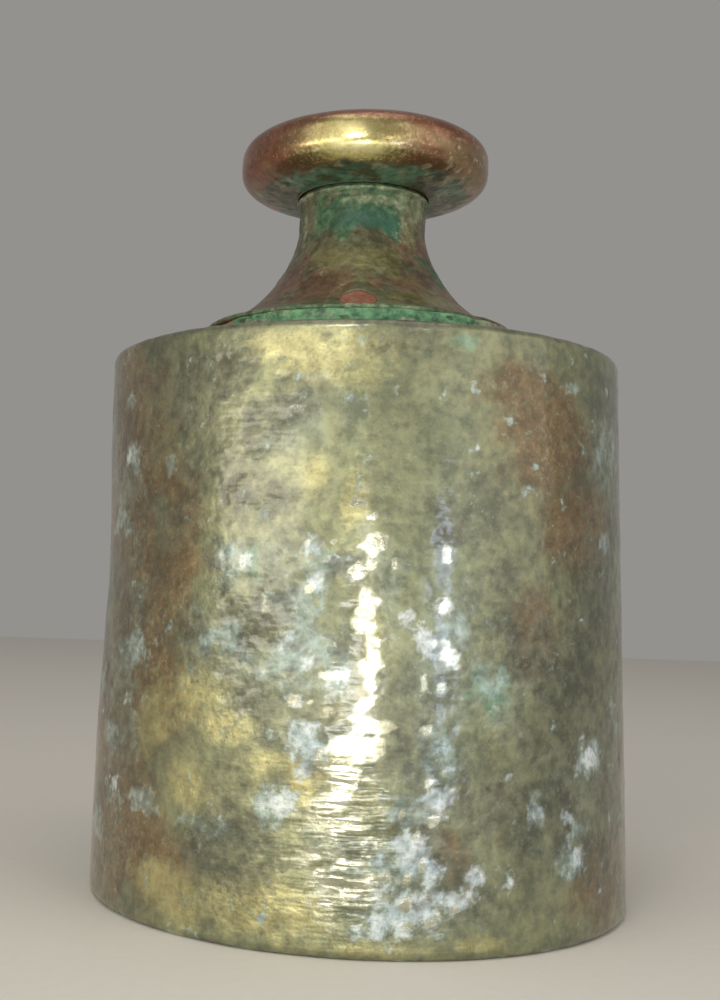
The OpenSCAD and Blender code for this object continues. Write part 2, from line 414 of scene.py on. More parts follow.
# Islands of bare polished metal, which throw back the lamps as sharp white fragments. They lie where the
# lamps' reflections fall, and their pale tone is a painted highlight.
shine_spots = [
    (-1, 36.2, 0.5, 0.4), (0.5, 36.3, 0.4, 0.3), (2.5, 35.0, 0.3, 0.3), (3, 33.0, 0.9, 1.2),
    (0.5, 32.5, 0.45, 0.5), (-5, 32.8, 0.3, 0.3), (-9.5, 32.8, 0.25, 0.3), (6.5, 31.2, 0.3, 0.35),
    (2.5, 31.0, 0.3, 0.3), (0, 30.5, 0.8, 0.6), (-9, 29.0, 0.3, 0.3), (1.5, 26.8, 1.0, 2.2),
    (2.5, 22.0, 0.8, 1.7), (-5.5, 22.0, 1.1, 0.4), (1, 19.8, 0.8, 0.6), (-11.5, 19.8, 0.5, 0.4),
    (-8.5, 19.8, 0.4, 0.3), (2.8, 18.2, 2.0, 0.8), (0, 16.2, 2.0, 1.4), (-2, 14.0, 1.8, 1.6),
    (-5, 11.8, 1.1, 0.9), (-2.5, 12.2, 0.8, 0.8), (-3.5, 9.5, 0.5, 0.2), (-5.5, 9.5, 0.6, 0.3),
    (-2.5, 9.0, 0.8, 0.4), (2, 9.2, 0.4, 0.25), (-4, 8.2, 0.6, 0.25), (2, 8.2, 0.5, 0.5),
    (-2.5, 7.2, 0.7, 0.4), (-6, 6.5, 0.6, 0.3), (-4, 5.8, 0.8, 0.4), (-1, 4.8, 0.6, 0.25),
    (-4.5, 4.2, 1.0, 0.3), (4.5, 11.8, 0.3, 0.3), (8.5, 11.2, 0.3, 0.3), (9.5, 6.2, 0.4, 0.5),
    (9.5, 4.5, 0.5, 0.6), (15.5, 27.8, 0.6, 0.8), (16.5, 25.0, 0.5, 0.5), (14.5, 24.8, 0.3, 0.3),
    (17, 23.8, 0.9, 0.8), (15.5, 21.2, 0.5, 0.3), (19, 23.0, 0.3, 0.3), (11.5, 26.5, 0.3, 0.3),
    (13, 17.8, 0.3, 0.4), (13.5, 13.8, 0.8, 0.3), (16, 14.5, 0.3, 0.3), (15, 3.5, 0.5, 0.6),
    (10, 2.8, 0.5, 0.5), (13.5, 3.0, 0.3, 0.3), (18, 4.0, 0.5, 0.2), (16.5, 32.0, 0.4, 1.0),
    (12, 21.5, 0.3, 0.8), (11, 9.6, 0.5, 0.3), (14, 10.8, 0.6, 0.4), (12, 7.6, 0.3, 0.5),
] + scattered(17, 60, (75, 290), (2, 50), (0.1, 0.5))

ragged = 0.34 * rough(smooth_place, 2.4, 21, 4)
torn = 0.44 * rough(smooth_place, 1.0, 31, 3)
lime = 0.66 * near_wall * cover(angle, z, lime_spots, barrel_r, ragged + torn, 0.15, 1.00)
# White lime crystals, and right of the front painted bluish-white glints
frost_and_painted_glint = 0.62 * near_wall * cover(angle, z, frost_and_painted_glint_spots, barrel_r, 0.6 * ragged + torn, 0.15, 0.90)
haze = near_wall * cover(angle, z, haze_spots, barrel_r, ragged + 0.6 * torn, 0.15, 1.10)
lime = np.maximum(lime, 0.75 * ends * soft_step(rough(smooth_place, 5, 33), 0.45, 1.0))
gold = near_wall * cover(angle, z, gold_spots, barrel_r, ragged + 0.4 * torn, 0.25, 1.05)
gold *= 1 - 0.3 * soft_step(z, 28, 40)
gold = np.maximum(gold, np.where(near_wall > 0, 0.2, 0.4) * soft_step(rough(smooth_place, 6, 34), 0.2, 0.9))
stain = near_wall * cover(angle, z, stain_spots, barrel_r, ragged + 0.4 * torn, 0.25, 1.05)
stain = np.maximum(stain, 0.60 * soft_step(rough(smooth_place, 5, 35), 0.0, 0.9))
stain = np.maximum(stain, 0.9 * soft_step(z, barrel_h - 0.7, barrel_h - 0.2) * near_wall)
# Brown: painted shade and painted red-brown reflection on the sides, brown patina at the back and on the ends
brown = near_wall * cover(angle, z, painted_side_shade_and_brown_spots, barrel_r, 0.8 * ragged, 0.15, 0.85)
brown = np.maximum(brown, 0.7 * ends * soft_step(rough(smooth_place, 7, 36), 0.1, 0.8))
green = near_wall * cover(angle, z, green_spots, barrel_r, ragged + torn, 0.35, 0.95)
shine = near_wall * cover(angle, z, shine_spots, barrel_r, 0.8 * torn, 0.35, 0.75)
# Small pale glossy specks in the haze, painted glints
shine = np.maximum(
    shine, 0.40 * near_wall * (0.5 + 0.5 * haze) * soft_step(rough(smooth_place, 1.3, 38), 0.5, 1.0))
rim = np.clip(bell(z, 0.25, 0.5) + bell(z, barrel_h - 0.25, 0.5), 0, 1)
gold = np.maximum(gold, 0.2 * near_wall * rim * soft_step(rough(smooth_place, 3, 37), -0.5, 0.5))

hollow = bell(degrees, -82, 26) * bell(z, 31, 10)
ridges = bell(degrees, -2, 11) * bell(z, 8, 6)
pitted = soft_step(rough(smooth_place, 1.1, 41, 3) + 0.5 * lime + 0.4 * stain, 0.55, 1.15)
# Pale glossy dashes in the turned ridges low in the middle, a painted highlight
shine = np.maximum(shine, 0.8 * ridges * near_wall * soft_step(
    rough(smooth_place * (0.45, 0.45, 1.4), 1.0, 39, 2), -0.3, 0.3))
coarse = np.clip(0.35 + 0.6 * haze + 0.5 * lime + 0.3 * stain + 0.6 * ridges, 0, 1)
coarse *= np.where(outside, 1, 0.3) * (1 - 0.7 * shine)
# Relief in mm: each term is a depth times a pattern, and a pattern's first number is its cell
height = (
    -skin * normal[..., 0] ** 2
    + 0.040 * grain(smooth_place, 9, 42)
    + 0.050 * (0.3 + 0.7 * coarse) * rough(smooth_place, 3.2, 43, 2)
    + 0.034 * coarse * rough(smooth_place, 0.95, 44, 2)
    - 0.06 * pitted * coarse
    + 0.06 * lime * (0.6 + 0.5 * rough(smooth_place, 0.8, 45, 2))
    - 0.50 * hollow
    + ends * (0.012 * np.sin(2 * math.pi * r / facing_pitch) - 0.02)
)
height = np.where(outside, np.minimum(height, 0), 0)

tapped = row >= rows_outside + len(barrel_mouth)
groove = np.where(tapped, thread_height(angle, z, groove_turns, thread_gap), 0)
r = r + normal[..., 0] * height + thread_depth * groove
z = z + normal[..., 1] * height
barrel = turned_object("barrel_turned", turn_points(r, z, angle), {
    "lime": lime, "gold": np.where(outside, gold, 0.7), "stain": np.where(outside, stain, 0.2),
    "brown": np.where(outside, brown, 0.2), "green": green, "pit": np.where(outside, pitted, 0),
    "coarse": coarse, "haze": haze, "ridges": ridges * outside, "shine": shine, "frost_and_painted_glint": frost_and_painted_glint})


def weathered(name, tones, metal, film, mottle_mm, cloud_mm, grit_mm, relief_mm, turned_mm, layers):
    """A weathered metal. A mottle over wide clouds mixes its two tones, and metal is its metallic value with
    its lowest and highest roughness. Film is the weight and roughness of the thin clear layer of grease and
    oxide on it. Each layer (attribute, contrast, opacity, its two tones, metallic, roughness) covers it by
    contrast * (attribute - 0.5) + 0.5, broken up by grit. relief_mm is the depth of the pits and turned_mm
    that of the tool marks round it."""
    # Nearly all of a fine noise lies between these values
    usual = {"From Min": 0.34, "From Max": 0.66}
    grit_gain = 2.2
    metallic, smoothest, roughest = metal
    material, shader, place = blank_material(name)
    shader.inputs["Coat Weight"].default_value = film[0]
    shader.inputs["Coat Roughness"].default_value = film[1]
    noise = {key: add_node(material, "ShaderNodeTexNoise", {}, {
        "Vector": place, "Scale": 1 / (size * MM), "Detail": detail, "Roughness": 0.62}).outputs["Fac"]
        for key, size, detail in (("mottle", mottle_mm, 6), ("cloud", cloud_mm, 3), ("grit", grit_mm, 3))}
    drift = add_node(material, "ShaderNodeMapRange", {"clamp": False}, {
        "Value": noise["cloud"], "From Min": 0.35, "From Max": 0.65, "To Min": -0.35, "To Max": 0.35})
    tone = add_node(material, "ShaderNodeMapRange", {"clamp": False}, {"Value": noise["mottle"], **usual})
    tone = add_node(material, "ShaderNodeMath", {"operation": "ADD", "use_clamp": True}, {
        0: tone.outputs[0], 1: drift.outputs[0]}).outputs[0]
    grit = add_node(material, "ShaderNodeMath", {"operation": "MULTIPLY_ADD"}, {
        0: noise["grit"], 1: grit_gain, 2: -0.5 * grit_gain}).outputs[0]
    colour = add_node(material, "ShaderNodeMix", {"data_type": "RGBA"}, {
        0: tone, 6: linear(tones[0]), 7: linear(tones[1])}).outputs[2]
    gloss = add_node(material, "ShaderNodeMapRange", {}, {
        "Value": noise["mottle"], **usual, "To Min": roughest, "To Max": smoothest}).outputs[0]
    for attribute, contrast, opacity, dark, light, layer_metallic, layer_roughness in layers:
        source = add_node(material, "ShaderNodeAttribute", {"attribute_name": attribute})
        steep = add_node(material, "ShaderNodeMath", {"operation": "MULTIPLY_ADD"}, {
            0: source.outputs["Fac"], 1: contrast, 2: 0.5 - 0.5 * contrast})
        mask = add_node(material, "ShaderNodeMath", {"operation": "ADD", "use_clamp": True}, {
            0: steep.outputs[0], 1: grit})
        mask = add_node(material, "ShaderNodeMath", {"operation": "MULTIPLY"}, {
            0: mask.outputs[0], 1: opacity}).outputs[0]
        own = add_node(material, "ShaderNodeMix", {"data_type": "RGBA"}, {
            0: tone, 6: linear(dark), 7: linear(light)}).outputs[2]
        colour = add_node(material, "ShaderNodeMix", {"data_type": "RGBA"}, {
            0: mask, 6: colour, 7: own}).outputs[2]
        metallic = add_node(material, "ShaderNodeMix", {"data_type": "FLOAT"}, {
            0: mask, 2: metallic, 3: layer_metallic}).outputs[0]
        gloss = add_node(material, "ShaderNodeMix", {"data_type": "FLOAT"}, {
            0: mask, 2: gloss, 3: layer_roughness}).outputs[0]
    material.node_tree.links.new(colour, shader.inputs["Base Color"])
    material.node_tree.links.new(metallic, shader.inputs["Metallic"])
    material.node_tree.links.new(gloss, shader.inputs["Roughness"])
    # The clear film fills the finest pits, so it follows only a smoother swell
    swell = add_node(material, "ShaderNodeTexNoise", {}, {
        "Vector": place, "Scale": 1 / (2 * mottle_mm * MM)}).outputs["Fac"]
    # Tool marks run round the axis, so their pattern is stretched five times across it
    marks = add_node(material, "ShaderNodeMapping", {"vector_type": "POINT"}, {
        "Vector": place, "Scale": (0.2, 0.2, 1.0)})
    marks = add_node(material, "ShaderNodeTexNoise", {}, {
        "Vector": marks.outputs["Vector"], "Scale": 1 / (0.9 * MM), "Detail": 2})
    ridges = add_node(material, "ShaderNodeAttribute", {"attribute_name": "ridges"}).outputs["Fac"]
    ridges = add_node(material, "ShaderNodeMapRange", {}, {"Value": ridges, "To Min": 0.1}).outputs[0]
    coarse = add_node(material, "ShaderNodeAttribute", {"attribute_name": "coarse"}).outputs["Fac"]
    relief = add_node(material, "ShaderNodeBump", {}, {
        "Height": swell, "Strength": coarse, "Distance": relief_mm * MM})
    relief = add_node(material, "ShaderNodeBump", {}, {
        "Height": marks.outputs["Fac"], "Strength": ridges, "Distance": turned_mm * MM,
        "Normal": relief.outputs["Normal"]})
    material.node_tree.links.new(relief.outputs["Normal"], shader.inputs["Coat Normal"])
    for pattern, depth_mm in (("mottle", relief_mm), ("grit", 0.4 * relief_mm)):
        relief = add_node(material, "ShaderNodeBump", {}, {
            "Height": noise[pattern], "Strength": coarse, "Distance": depth_mm * MM,
            "Normal": relief.outputs["Normal"]})
    material.node_tree.links.new(relief.outputs["Normal"], shader.inputs["Normal"])
    return material


# Tarnished brass: a metal under a thin brown-olive oxide that greys and dulls it, so its colour is darker
# than polished brass and its gloss is broad. Rubbed places are yellow, lime is a pale matt haze with white
# crystals in it, and only small bare islands are still glossy. The brown layer is also painted shade and a
# painted red-brown reflection on the sides, the white crystals right of the front are also painted bluish
# glints, and the islands' pale tone is a painted highlight.
barrel.data.materials.append(weathered(
    "tarnished_brass", ("#6f755e", "#979b78"), (0.75, 0.34, 0.50), (0.8, 0.12), 1.1, 6, 0.50, 0.16, 0.36, [
        # Brown: painted shade and a painted red-brown reflection on the sides, brown patina at the back and
        # on the ends
        ("brown", 1.1, 0.85, "#6a5238", "#8c6e4c", 0.70, 0.44),
        ("gold", 1.1, 0.85, "#aca472", "#d4cc92", 0.92, 0.36),
        ("haze", 1.2, 0.65, "#626a5a", "#96a292", 0.35, 0.44),
        ("stain", 1.2, 0.80, "#4c4e42", "#787a66", 0.60, 0.46),
        ("green", 1.2, 0.60, "#5c8a70", "#86b097", 0.20, 0.50),
        ("lime", 1.8, 0.75, "#74867e", "#bcd2d0", 0.15, 0.42),
        # White lime crystals, and right of the front painted bluish-white glints
        ("frost_and_painted_glint", 1.8, 0.90, "#b0c6ce", "#f6fcff", 0.10, 0.38),
        ("pit", 1.3, 0.55, "#4c4a3a", "#64604c", 0.50, 0.55),
        # Shine: glossy bare islands whose pale tone is a painted highlight
        ("shine", 2.0, 0.90, "#b0b298", "#d8d8c4", 0.95, 0.20),
    ]))
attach(barrel, "weight_body")
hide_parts("body")


# Seat washer
# A thick copper washer between the barrel and the knob's foot. Its edge has grown a bright green crust
# of verdigris in thin layers at the front, and is brown and flaked at both sides.

washer_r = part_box("seat_washer")[1][0] / MM
washer_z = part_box("seat_washer")[0][2] / MM
washer_top_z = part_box("seat_washer")[1][2] / MM
washer_hole_r = 7.1
washer_edge = 0.25
washer_columns = 480

washer_section = np.concatenate([
    straight(washer_hole_r, washer_z, washer_r - washer_edge, washer_z, 14),
    corner(washer_r - washer_edge, washer_z + washer_edge, washer_edge, -90, 0, 4),
    straight(washer_r, washer_z + washer_edge, washer_r, washer_top_z - washer_edge, 30),
    corner(washer_r - washer_edge, washer_top_z - washer_edge, washer_edge, 0, 90, 4),
    straight(washer_r - washer_edge, washer_top_z, washer_hole_r, washer_top_z, 14),
    straight(washer_hole_r, washer_top_z, washer_hole_r, washer_z, 8),
])
angle, row, r, z, normal, smooth_place = section_grid(
    washer_section, even_columns(washer_columns), closed=True)
degrees = front_degrees(angle)
# The crust grew in flat layers, so its patterns are stretched along the washer
layered_place = smooth_place * (0.55, 0.55, 1.6)
rim_side = soft_step(r, washer_r - 0.6, washer_r - 0.1)

crust = soft_step(degrees + 5 * rough(smooth_place, 4, 51), -54, -44)
crust *= 1 - soft_step(degrees + 5 * rough(smooth_place, 4, 52), 30, 60)
at_back = soft_step(np.abs(degrees) + 12 * rough(smooth_place, 3, 57), 72, 92)
crust = np.maximum(crust, 0.8 * soft_step(rough(smooth_place, 6, 53), 0.1, 0.6) * at_back)
flakes = rough(layered_place, 1.6, 54, 4)
right_side = soft_step(degrees, 28, 46) * (1 - soft_step(degrees, 120, 175))
pale = soft_step(rough(layered_place, 1.1, 55, 3) + 1.1 * right_side, 0.45, 1.0)
crack = soft_step(-rough(layered_place, 0.9, 56, 3), 0.45, 0.85)
height = rim_side * (0.05 + 0.16 * crust * (0.5 + 0.5 * flakes) + 0.05 * flakes - 0.10 * crack + 0.05 * pale)
height -= 0.12 * rim_side * (1 - crust)
r = r + normal[..., 0] * height
z = np.clip(z + normal[..., 1] * height, washer_z, washer_top_z)
washer = turned_object("washer_crusted", turn_points(r, z, angle), {
    "crust": crust, "pale": pale * rim_side, "crack": crack * rim_side,
    "coarse": 0.3 + 0.7 * rim_side}, ring=True)
# Copper under verdigris: the crust is a matt mineral and the bare metal is a dull brown oxide
washer.data.materials.append(weathered(
    "verdigris_on_copper", ("#86664e", "#a8866e"), (0.45, 0.50, 0.65), (0.2, 0.25),
    0.7, 3, 0.24, 0.14, 0.10, [
        ("crust", 2.0, 1.0, "#285c3e", "#70a67a", 0.0, 0.62),
        ("pale", 1.4, 0.80, "#6c6e5a", "#a09f88", 0.0, 0.55),
        ("crack", 2.0, 0.80, "#2c3f2e", "#47603f", 0.0, 0.75),
    ]))
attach(washer, "washer")
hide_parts("seat_washer")


# Knob's neck
# The screw, foot, flare and neck are one brass turning that grips the head by a tenon. Wear and a bent
# screw leave its foot half a millimetre to the left. Its patina is dark, with verdigris under the head.

screw_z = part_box("neck")[0][2] / MM
foot_z = washer_top_z
foot_r = 16.1
foot_top_z = foot_z + 0.5
foot_bevel = 0.15
flare_h = 11
flare_power = 1.6
neck_r = 6.7
neck_top_z = 70.4
tenon_r = 3.5
tenon_top_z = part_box("neck")[1][2] / MM
core_r = 6.1
screw_chamfer = 0.6
# Height up to which the screw's rows stand close enough for the thread
threaded_top_z = 52.6
screw_turns = (0, 5.98)
# How far the foot stands to the left, and by what share of the height the knob leans right again
foot_shift = 0.585
lean = 0.022
plug_y = -13.2
plug_r = 1.87
neck_columns = 320
flare_rows = 60


def flare_radius(z):
    """Radius of the foot's flare at height z: edge - (edge - neck) * (1 - (1 - t)^p)^(1 / p), where t is the
    share of the flare's height."""
    t = np.clip((z - foot_top_z) / flare_h, 0, 1)
    edge = foot_r - foot_bevel
    return edge - (edge - neck_r) * (1 - (1 - t) ** flare_power) ** (1 / flare_power)


def leaning(points):
    """The knob's points above the washer, moved left by foot_shift and right again by lean times their
    height over the barrel. Under the foot the move fades out towards the screw."""
    x, y, z = np.moveaxis(points, -1, 0)
    share = np.where(z > foot_z + 0.01, 1, np.where(z < foot_z - 0.01, 0, soft_step(np.hypot(x, y), 6.5, 15)))
    return np.stack([x + share * (lean * (z - barrel_h) - foot_shift), y, z], -1)


flare_line = np.linspace(foot_top_z, foot_top_z + flare_h, 2000)
flare_steps = np.hypot(np.diff(flare_line), np.diff(flare_radius(flare_line)))
flare_length = np.concatenate([[0], np.cumsum(flare_steps)])
flare_z = np.interp(np.arange(flare_rows) / flare_rows * flare_length[-1], flare_length, flare_line)
neck_screw = [
    straight(middle_r, screw_z, core_r - screw_chamfer, screw_z, 4),
    straight(core_r - screw_chamfer, screw_z, core_r, screw_z + screw_chamfer, 2),
    straight(core_r, screw_z + screw_chamfer, core_r, threaded_top_z, 62),
    straight(core_r, threaded_top_z, core_r, foot_z, 5),
    straight(core_r, foot_z, foot_r - foot_bevel, foot_z, 12),
]
neck_shown = [
    straight(foot_r - foot_bevel, foot_z, foot_r, foot_z + foot_bevel, 2),
    straight(foot_r, foot_z + foot_bevel, foot_r, foot_top_z - foot_bevel, 2),
    straight(foot_r, foot_top_z - foot_bevel, foot_r - foot_bevel, foot_top_z, 2),
    np.stack([flare_radius(flare_z), flare_z], 1),
    straight(neck_r, foot_top_z + flare_h, neck_r, neck_top_z, 22),
]
neck_section = np.concatenate([
    *neck_screw,
    *neck_shown,
    straight(neck_r, neck_top_z, tenon_r, neck_top_z, 5),
    straight(tenon_r, neck_top_z, tenon_r, tenon_top_z, 4),
    straight(tenon_r, tenon_top_z, middle_r, tenon_top_z, 3),
])
# Columns stand closer together at the front, where the plug is
full_turn = np.linspace(-math.pi, math.pi, 2001)
crowding = np.cumsum(1 + 2.5 * bell(full_turn, 0, 0.30))
crowding = (crowding - crowding[0]) / (crowding[-1] - crowding[0])
crowded_columns = np.interp(np.arange(neck_columns) / neck_columns, crowding, full_turn)
angle, row, r, z, normal, smooth_place = section_grid(neck_section, crowded_columns)
degrees = front_degrees(angle)
first_shown = sum(map(len, neck_screw))
visible = (row >= first_shown) & (row < first_shown + sum(map(len, neck_shown)))

from_plug = np.hypot(smooth_place[..., 0], smooth_place[..., 1] - plug_y) + np.where(z > 60, 9, 0)
ragged = 0.45 * rough(smooth_place, 1.8, 61, 4)
crust = cover(angle, z, [
    (-14, 67.1, 3.4, 2.8), (12, 67.1, 3.6, 2.8), (-34, 67.1, 2.4, 2.8), (0, 70.0, 7.0, 1.0),
    (34, 68.5, 1.6, 1.4),
] + scattered(62, 16, (60, 300), (60, 70), (0.8, 3.0)), neck_r, ragged, 0.35, 0.95)
lip = bell(z, foot_top_z + 0.1, 0.60)
front = soft_step(degrees, -56, -44) * (1 - soft_step(degrees, 20, 50))
crust = np.maximum(crust, lip * np.maximum(front, 0.6 * soft_step(rough(smooth_place, 3, 63), -0.5, 0.4)))
crust = np.maximum(crust, 0.6 * soft_step(rough(smooth_place, 4, 64), 0.35, 0.95))
teal = cover(angle, z, [
    (14, 66.3, 3.0, 1.2), (2, 66.6, 1.8, 1.0), (26, 65.9, 1.0, 1.2), (170, 66, 3.4, 2.0),
], neck_r, 0.7 * ragged, 0.35, 0.7)
brown = cover(angle, z, [
    (-50, 59.5, 8.0, 3.6), (55, 62.0, 4.0, 6.0), (62, 58.0, 8.0, 3.0),
] + scattered(65, 12, (80, 280), (56, 68), (1.5, 4.5)), 0.5 * (r + neck_r), ragged, 0.25, 0.9)
rub = cover(angle, z, [
    (15, 61.6, 2.6, 1.6), (-20, 61.8, 2.4, 1.4), (30, 57.4, 2.4, 0.8), (48, 66.5, 1.6, 3.0),
] + scattered(66, 8, (80, 280), (57, 69), (0.8, 2.2)), neck_r, ragged, 0.25, 0.9)
scored = bell(from_plug, 3.05, 0.13)
top_rim = bell(z, neck_top_z - 0.58, 0.22) * (r > 6)
rime = 0.8 * cover(angle, z, [
    (48, 66.8, 1.8, 3.0), (62, 68.0, 1.4, 2.0), (8, 68.6, 2.6, 0.5), (-60, 67.5, 1.0, 2.0),
], neck_r, ragged, 0.35, 1.0)
rime = np.maximum(rime, top_rim * (0.75 + 0.4 * rough(smooth_place, 0.9, 71, 3)))
rime = np.maximum(rime, 0.45 * soft_step(rough(smooth_place, 0.8, 72, 3), 0.5, 1.0))
rime = np.maximum(rime, lip * front * (0.35 + 0.45 * rough(smooth_place, 0.9, 73, 3)))
height = visible * (
    0.03 * grain(smooth_place, 5, 67)
    + 0.02 * rough(smooth_place, 1.6, 68, 3)
    + 0.10 * crust * (0.4 + 0.6 * rough(smooth_place, 0.7, 69, 2))
    - 0.06 * scored
    + 0.38 * top_rim * (0.85 + 0.5 * rough(smooth_place, 0.8, 70, 2))
    - 0.28 * (1 - soft_step(from_plug, plug_r - 0.25, plug_r + 0.02))
)
thread = np.where((z < barrel_h + 1) & (r > core_r - 0.05), thread_height(angle, z, screw_turns, 0), 0)
r = r + normal[..., 0] * height + thread_depth * thread
z = z + normal[..., 1] * height
neck = turned_object("neck_turned", leaning(turn_points(r, z, angle)), {
    "crust": np.where(visible, crust, 0), "teal": np.where(visible, teal, 0),
    "brown": np.where(visible, brown, 0.3), "rime": np.where(visible, rime, 0),
    "rub": np.where(visible, np.maximum(rub, 0.8 * scored), 0.8),
    "coarse": np.where(visible, 0.4 + 0.6 * crust, 0.1)})
# Patinated brass: brown-olive oxide over the metal, duller than the barrel, crusted blue-green on the neck
neck.data.materials.append(weathered(
    "patinated_brass", ("#4e4e3a", "#7e7e62"), (0.55, 0.38, 0.54), (0.15, 0.30), 0.8, 4, 0.26, 0.14, 0.10, [
        ("brown", 1.2, 0.75, "#6c4c3e", "#8c6856", 0.55, 0.42),
        ("rub", 1.4, 0.80, "#76744e", "#9e9c70", 0.75, 0.38),
        ("crust", 1.3, 0.92, "#20482e", "#527a54", 0.05, 0.62),
        ("teal", 1.8, 0.92, "#1a4a38", "#2c6449", 0.05, 0.55),
        ("rime", 1.6, 0.85, "#6e7a5a", "#b0b496", 0.10, 0.60),
    ]))
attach(neck, "knob")
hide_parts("neck")


# Stamp plug
# A soft copper plug, hammered into a hole in the foot to take an inspector's stamp and filed to the
# slope of the flare. It is left bare and dull red, with a few dents.

plug_columns = 72
base_rows, side_rows, top_rows = 6, 5, 26
plug_middle_r = 0.05
slope_z = np.linspace(foot_top_z, foot_top_z + flare_h, 400)
plug_rho = np.concatenate([
    np.linspace(plug_middle_r, plug_r, base_rows), np.full(side_rows, plug_r),
    np.linspace(plug_r, plug_middle_r, top_rows)])
plug_rise = np.concatenate([np.zeros(base_rows), np.linspace(0.1, 0.9, side_rows), np.ones(top_rows)])
angle, row = np.meshgrid(even_columns(plug_columns), np.arange(len(plug_rho)))
rho = plug_rho[row]
across = turn_points(rho, 0, angle) + (0, plug_y, 0)
surface_z = np.interp(-np.hypot(across[..., 0], across[..., 1]), -flare_radius(slope_z), slope_z)
dents = 0.03 * rough(across, 0.9, 71, 3)
dome = 0.10 * (1 - (rho / plug_r) ** 4) - 0.03 + dents
top = plug_rise == 1
z = np.where(top[row], surface_z + dome, foot_z + 0.02 + plug_rise[row] * (surface_z - foot_z - 0.06))
points = np.stack([across[..., 0], across[..., 1], z], -1)
plug = turned_object("plug_copper", leaning(points), {
    "worn": soft_step(rough(across, 1.2, 72, 3), -0.2, 0.7), "edge": soft_step(rho, plug_r - 0.35, plug_r),
    "coarse": np.ones(rho.shape)})
# Bare copper with a dull red-brown oxide
plug.data.materials.append(weathered(
    "dull_copper", ("#b47262", "#dca08c"), (0.70, 0.35, 0.50), (0.3, 0.20), 0.6, 2, 0.25, 0.06, 0.01, [
        ("worn", 1.4, 0.7, "#c47e6a", "#e6b09a", 0.80, 0.34),
        ("edge", 1.8, 0.8, "#3e3327", "#5d4b38", 0.40, 0.60),
    ]))
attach(plug, "knob")
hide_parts("stamp_plug")


# Head
# A flat round brass head, turned and fixed on the neck's tenon. Fingers keep the middle of its top brassy.
# Its front carries a painted sheen with a painted highlight just below the edge, its shoulder and left side
# are painted red-brown as a reflection, over some brown patina, its right side is speckled, and its underside
# is dark with verdigris.

head_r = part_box("head")[1][0] / MM
head_under_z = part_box("head")[0][2] / MM
head_top_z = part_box("head")[1][2] / MM
head_wide_z = head_under_z + 3.4
head_power = 3.2
recess_r = 7.0
recess_z = head_under_z + 0.4
socket_r = 3.53
socket_z = 75.9
head_columns = 360
head_rows = 190

around = np.linspace(-0.5 * math.pi, 0.5 * math.pi, 4000)
outline = np.stack([
    head_r * np.cos(around) ** (2 / head_power),
    head_wide_z + np.where(around < 0, head_wide_z - head_under_z, head_top_z - head_wide_z)
    * np.sign(around) * np.abs(np.sin(around)) ** (2 / head_power),
], 1)
outline = outline[(outline[:, 0] > recess_r) | (around > 0)]
outline = outline[outline[:, 0] > middle_r]
length = np.concatenate([[0], np.cumsum(np.linalg.norm(np.diff(outline, axis=0), axis=1))])
steps = np.linspace(0, length[-1], head_rows)
head_socket = [
    straight(middle_r, socket_z, socket_r, socket_z, 2),
    straight(socket_r, socket_z, socket_r, recess_z, 5),
    straight(socket_r, recess_z, recess_r, recess_z, 5),
    straight(recess_r, recess_z, recess_r, head_under_z + 0.02, 3),
]
head_section = np.concatenate([
    *head_socket,
    np.stack([np.interp(steps, length, outline[:, k]) for k in (0, 1)], 1),
])
angle, row, r, z, normal, smooth_place = section_grid(head_section, even_columns(head_columns))
degrees = front_degrees(angle)
outside = row >= sum(map(len, head_socket))

ragged = rough(smooth_place, 2.4, 81, 4)
under = 1 - soft_step(z + 0.40 * ragged, head_under_z + 0.55, head_under_z + 1.0)
green = under * soft_step(rough(smooth_place, 3, 82, 3), -0.1, 0.5)
patch = soft_step(rough(smooth_place, 1.3, 83, 3), -0.05, 0.5)
patch *= 0.3 + 0.7 * soft_step(z, head_under_z, head_under_z + 0.9)
# The sides and the front fade out at the back and towards the middle of the top
off_middle = soft_step(r, 6, 11)
right_side = off_middle * soft_step(degrees, 10, 45) * (1 - soft_step(degrees, 120, 175))
left_side = off_middle * (1 - soft_step(degrees + 14 * ragged, -62, -22)) * soft_step(degrees, -175, -120)
front = off_middle * bell(degrees, -5, 24)
flecks = soft_step(rough(smooth_place, 0.8, 84, 3), 0.25, 0.8) * (0.1 + 0.9 * right_side)
flecks = flecks * (1 - 0.8 * soft_step(z, head_wide_z, head_wide_z + 1.5))
# Painted red-brown reflection on the left side and on the shoulder; the random patches are brown patina
brown = np.maximum(left_side, 0.6 * soft_step(ragged, 0.2, 0.9))
# The painted red-brown reflection on the shoulder starts lower beside the front's painted sheen
shoulder_z = z + 0.3 * ragged + 1.1 * soft_step(np.abs(degrees + 4), 12, 40)
shoulder = soft_step(shoulder_z, head_wide_z + 0.7, head_wide_z + 2.4) * soft_step(r + 1.6 * ragged, 5, 11)
brown = np.maximum(brown, shoulder)
# Bright: rubbed brass on the middle of the top, and a painted sheen across the front
bright = front * soft_step(z + 0.2 * ragged, head_under_z + 0.6, head_under_z + 1.1)
bright = np.maximum(bright, soft_step(z, head_top_z - 0.9, head_top_z - 0.3) * (0.5 + 0.35 * ragged))
bright *= 1 - shoulder
